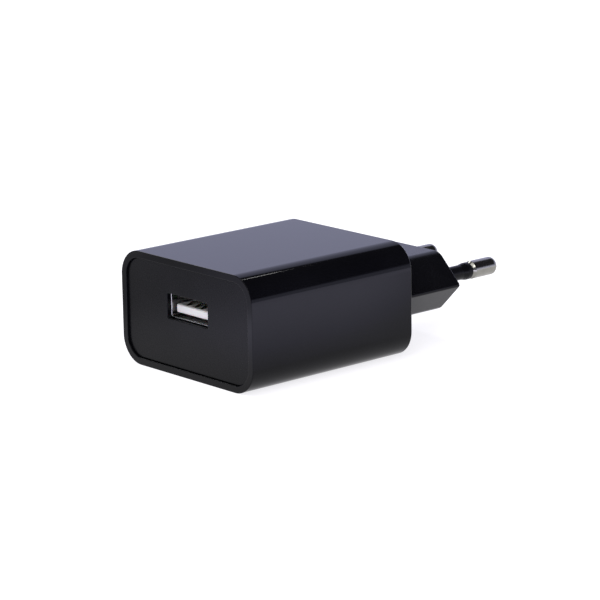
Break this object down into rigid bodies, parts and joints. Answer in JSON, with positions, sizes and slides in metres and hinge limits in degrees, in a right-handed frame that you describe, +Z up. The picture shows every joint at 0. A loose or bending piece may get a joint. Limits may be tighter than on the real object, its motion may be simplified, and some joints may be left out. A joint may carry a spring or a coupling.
{
  "type": "usb wall charger",
  "caption": "Rectangular wall charger with a recessed USB-A port on its front and a flat round-pin mains plug on its back.",
  "frame": {"origin": "under the middle of the whole charger, on the plane it lies on", "axes": "+Y from the USB face towards the pin tips, +X to the right seen from the USB face, +Z up with the charger lying on its wide flat side"},
  "size_m": [0.042, 0.0802, 0.0246],
  "materials": {
    "gloss_black": "polished high gloss",
    "matt_black": "fine matt texture",
    "satin_black": "satin moulded",
    "nickel_plate": "bright nickel plate",
    "pin_insulation": "satin moulded",
    "spring_brass": "stamped",
    "port_steel": "nickel plated, drawn",
    "port_white": "moulded",
    "contact_gold": "gold plated",
    "board_green": "solder mask",
    "solder": "bright",
    "resistor_body": "lacquered",
    "choke_body": "shrink tube",
    "chip_black": "moulded",
    "capacitor_blue": "shrink sleeve",
    "capacitor_violet": "shrink sleeve",
    "ferrite": "sintered",
    "bobbin_black": "moulded",
    "copper_wire": "enamelled copper",
    "tape_yellow": "polyester tape",
    "disc_blue": "dipped",
    "opto_cream": "moulded",
    "chip_resistor": "glazed",
    "chip_capacitor": "sintered"
  },
  "bodies": {
    "charger": {"housing_sleeve": "gloss_black", "front_cover": "matt_black", "plug_body": "satin_black", "pin_left": "nickel_plate", "pin_right": "nickel_plate", "pin_sleeve_left": "pin_insulation", "pin_sleeve_right": "pin_insulation", "usb_shell": "port_steel", "usb_insulator": "port_white", "pin_contact_left": "spring_brass", "pin_contact_right": "spring_brass", "usb_terminal_legs": "contact_gold", "circuit_board": "board_green", "solder_joints": "solder", "fusible_resistor": "resistor_body", "filter_choke": "choke_body", "bridge_rectifier": "chip_black", "bulk_capacitor_front": "capacitor_blue", "bulk_capacitor_rear": "capacitor_blue", "controller_chip": "chip_black", "transformer_core": "ferrite", "transformer_bobbin": "bobbin_black", "transformer_winding": "copper_wire", "transformer_tape": "tape_yellow", "transformer_pins": "nickel_plate", "safety_capacitor": "disc_blue", "optocoupler": "opto_cream", "output_diode": "chip_black", "output_capacitor": "capacitor_violet", "chip_resistors": "chip_resistor", "chip_capacitors": "chip_capacitor"},
    "contact_1": {"usb_contact_1": "contact_gold"},
    "contact_2": {"usb_contact_2": "contact_gold"},
    "contact_3": {"usb_contact_3": "contact_gold"},
    "contact_4": {"usb_contact_4": "contact_gold"}
  },
  "joints": [
    {"name": "contact_1_press", "type": "hinge", "parent": "charger", "child": "contact_1", "pos_m": [-0.0035, -0.0281, 0.01397], "axis": [1, 0, 0], "range_deg": [0, 3], "stiffness_Nm_per_rad": 0.12},
    {"name": "contact_2_press", "type": "hinge", "parent": "charger", "child": "contact_2", "pos_m": [-0.001, -0.0281, 0.01397], "axis": [1, 0, 0], "range_deg": [0, 3], "stiffness_Nm_per_rad": 0.12},
    {"name": "contact_3_press", "type": "hinge", "parent": "charger", "child": "contact_3", "pos_m": [0.001, -0.0281, 0.01397], "axis": [1, 0, 0], "range_deg": [0, 3], "stiffness_Nm_per_rad": 0.12},
    {"name": "contact_4_press", "type": "hinge", "parent": "charger", "child": "contact_4", "pos_m": [0.0035, -0.0281, 0.01397], "axis": [1, 0, 0], "range_deg": [0, 3], "stiffness_Nm_per_rad": 0.12}
  ]
}
